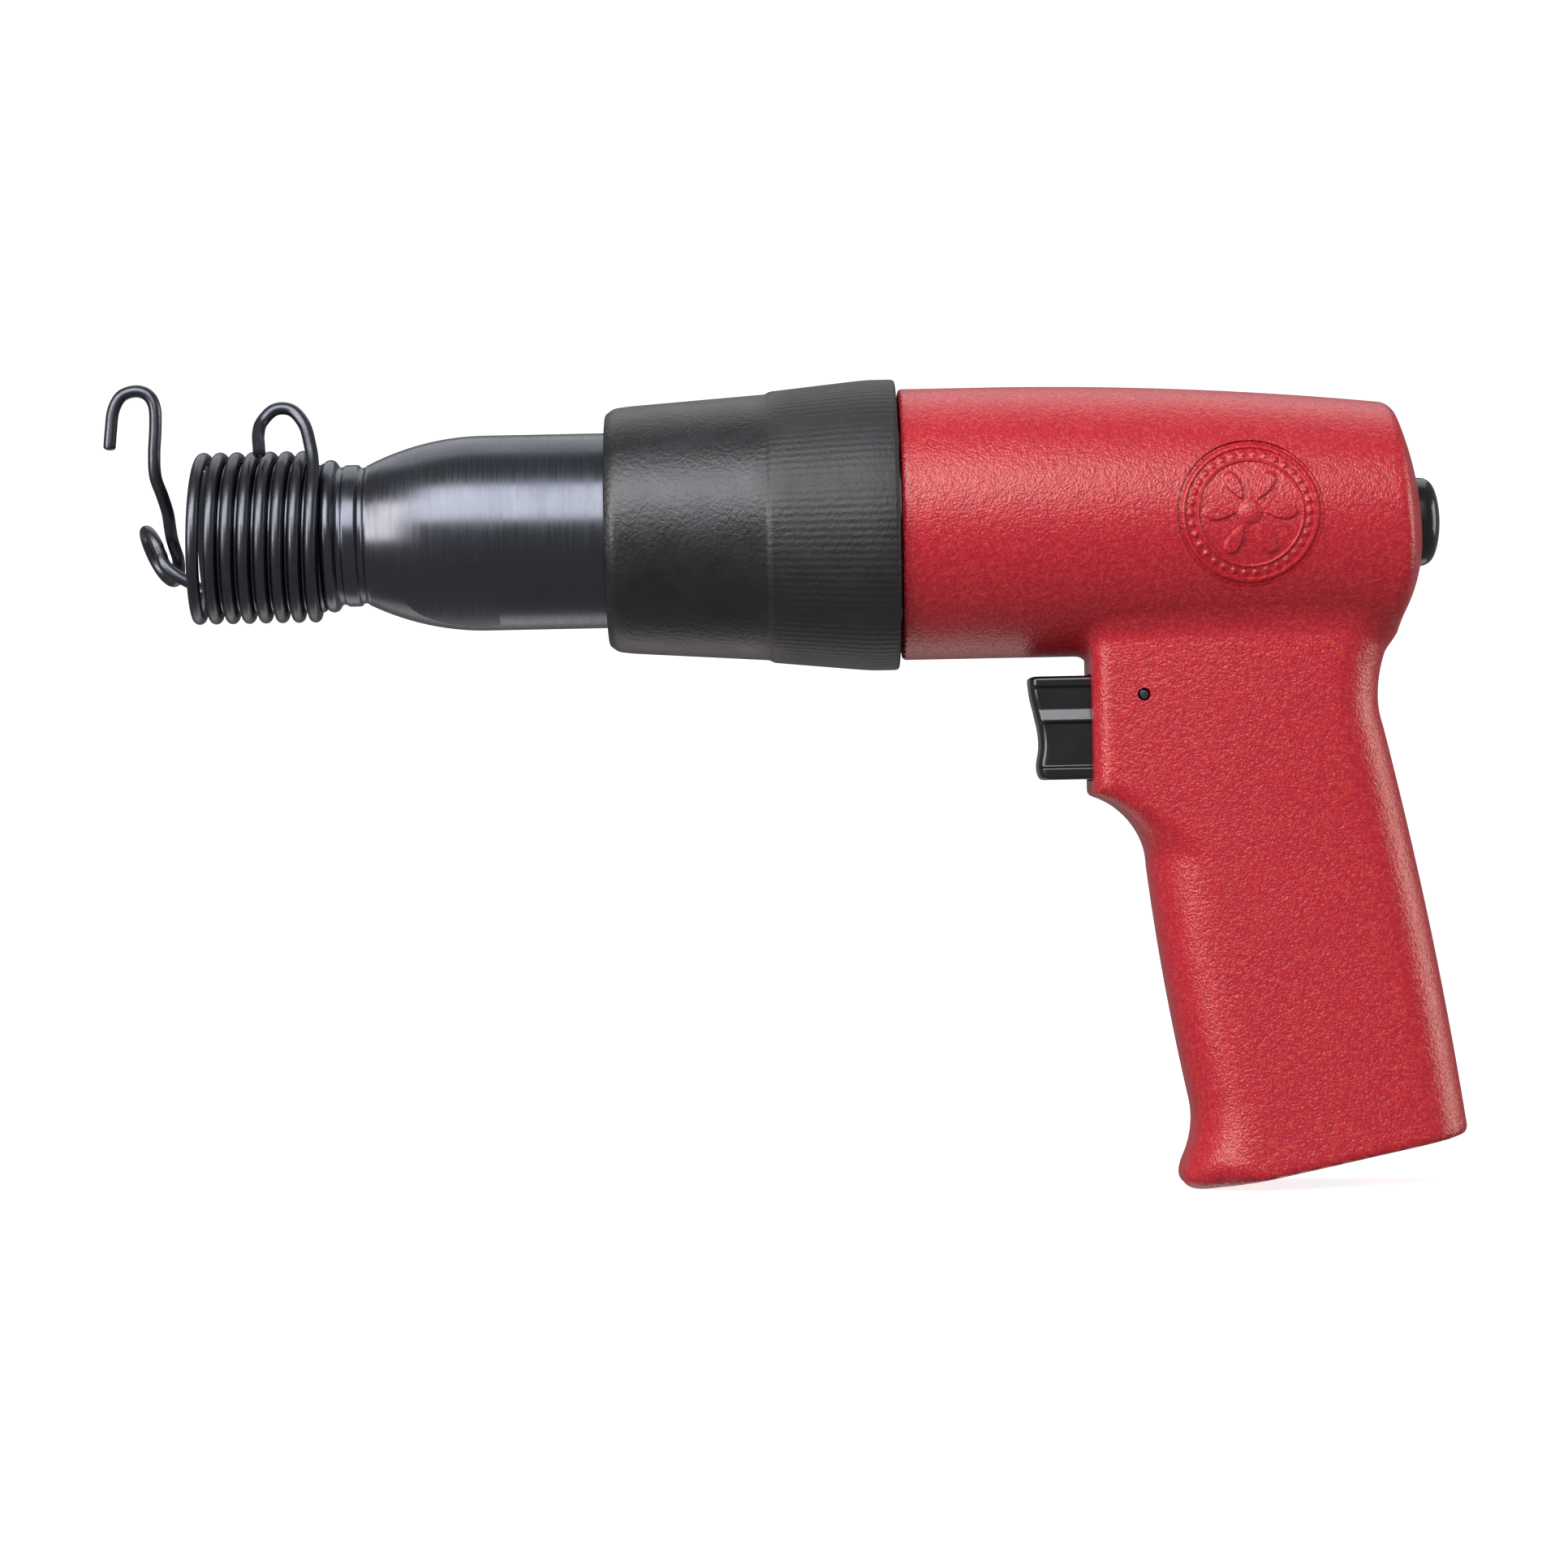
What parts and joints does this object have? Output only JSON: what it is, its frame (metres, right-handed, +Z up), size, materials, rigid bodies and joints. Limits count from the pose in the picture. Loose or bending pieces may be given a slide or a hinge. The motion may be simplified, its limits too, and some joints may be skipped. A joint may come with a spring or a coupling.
{
  "type": "pneumatic rivet gun",
  "caption": "Pistol-grip pneumatic rivet gun with wire retainer, rubber exhaust sleeve, sliding trigger, power regulator and inner piston and valves.",
  "frame": {"origin": "middle of the whole tool's box; the barrel's axis runs along X at Z = 51.8 mm and Y = 0", "axes": "+X from the muzzle to the back of the housing, +Y across the tool, +Z up, with the grip pointing down"},
  "size_m": [0.2744, 0.059, 0.1677],
  "materials": {
    "red_enamel": "wrinkle-finish red enamel over cast aluminium",
    "black_oxide": "satin black-oxide finish on turned alloy steel",
    "sleeve_rubber": "matt moulded nitrile rubber",
    "ground_steel": "ground and hardened tool steel",
    "spring_wire": "blackened round spring wire",
    "black_plastic": "glossy black glass-filled nylon",
    "brass": "turned brass",
    "valve_bronze": "machined valve bronze",
    "seal_rubber": "black nitrile seal rubber",
    "gasket_fibre": "pressed fibre gasket sheet",
    "zinc_steel": "zinc-plated steel"
  },
  "bodies": {
    "tool_body": {"handle_housing": "red_enamel", "barrel": "black_oxide", "exhaust_sleeve": "sleeve_rubber", "retainer_spring": "spring_wire", "chest_gasket": "gasket_fibre", "valve_seat_plate": "ground_steel", "valve_block": "ground_steel", "valve_dowel": "ground_steel", "throttle_bushing": "brass", "throttle_spring": "spring_wire", "throttle_o_ring": "seal_rubber", "trigger_pin": "black_oxide", "regulator_clip": "spring_wire", "inlet_bushing": "zinc_steel", "inlet_seal": "seal_rubber", "inlet_screen": "brass"},
    "piston_body": {"piston": "ground_steel"},
    "valve_body": {"shuttle_valve": "valve_bronze"},
    "trigger_body": {"trigger": "black_plastic", "throttle_stem": "ground_steel", "throttle_valve": "brass"},
    "regulator_body": {"regulator_knob": "black_plastic", "regulator_spool": "ground_steel", "regulator_o_ring": "seal_rubber"},
    "gate_body": {"retainer_hook": "spring_wire"}
  },
  "joints": [
    {"name": "trigger_slide", "type": "slide", "parent": "tool_body", "child": "trigger_body", "axis": [1, 0, 0], "range_m": [0, 0.005], "stiffness_N_per_m": 1200, "springref_m": -0.003, "deforming": ["throttle_spring"]},
    {"name": "piston_slide", "type": "slide", "parent": "tool_body", "child": "piston_body", "axis": [-1, 0, 0], "range_m": [0, 0.0925]},
    {"name": "valve_shuttle", "type": "slide", "parent": "tool_body", "child": "valve_body", "axis": [1, 0, 0], "range_m": [0, 0.001]},
    {"name": "regulator_turn", "type": "hinge", "parent": "tool_body", "child": "regulator_body", "pos_m": [0.125, 0, 0.0503], "axis": [1, 0, 0], "range_deg": [0, 180]},
    {"name": "gate_swing", "type": "hinge", "parent": "tool_body", "child": "gate_body", "pos_m": [-0.1293, 0.0204, 0.0492], "axis": [-0.8834, -0.3413, -0.3212], "range_deg": [-3, 60], "stiffness_Nm_per_rad": 0.3}
  ]
}
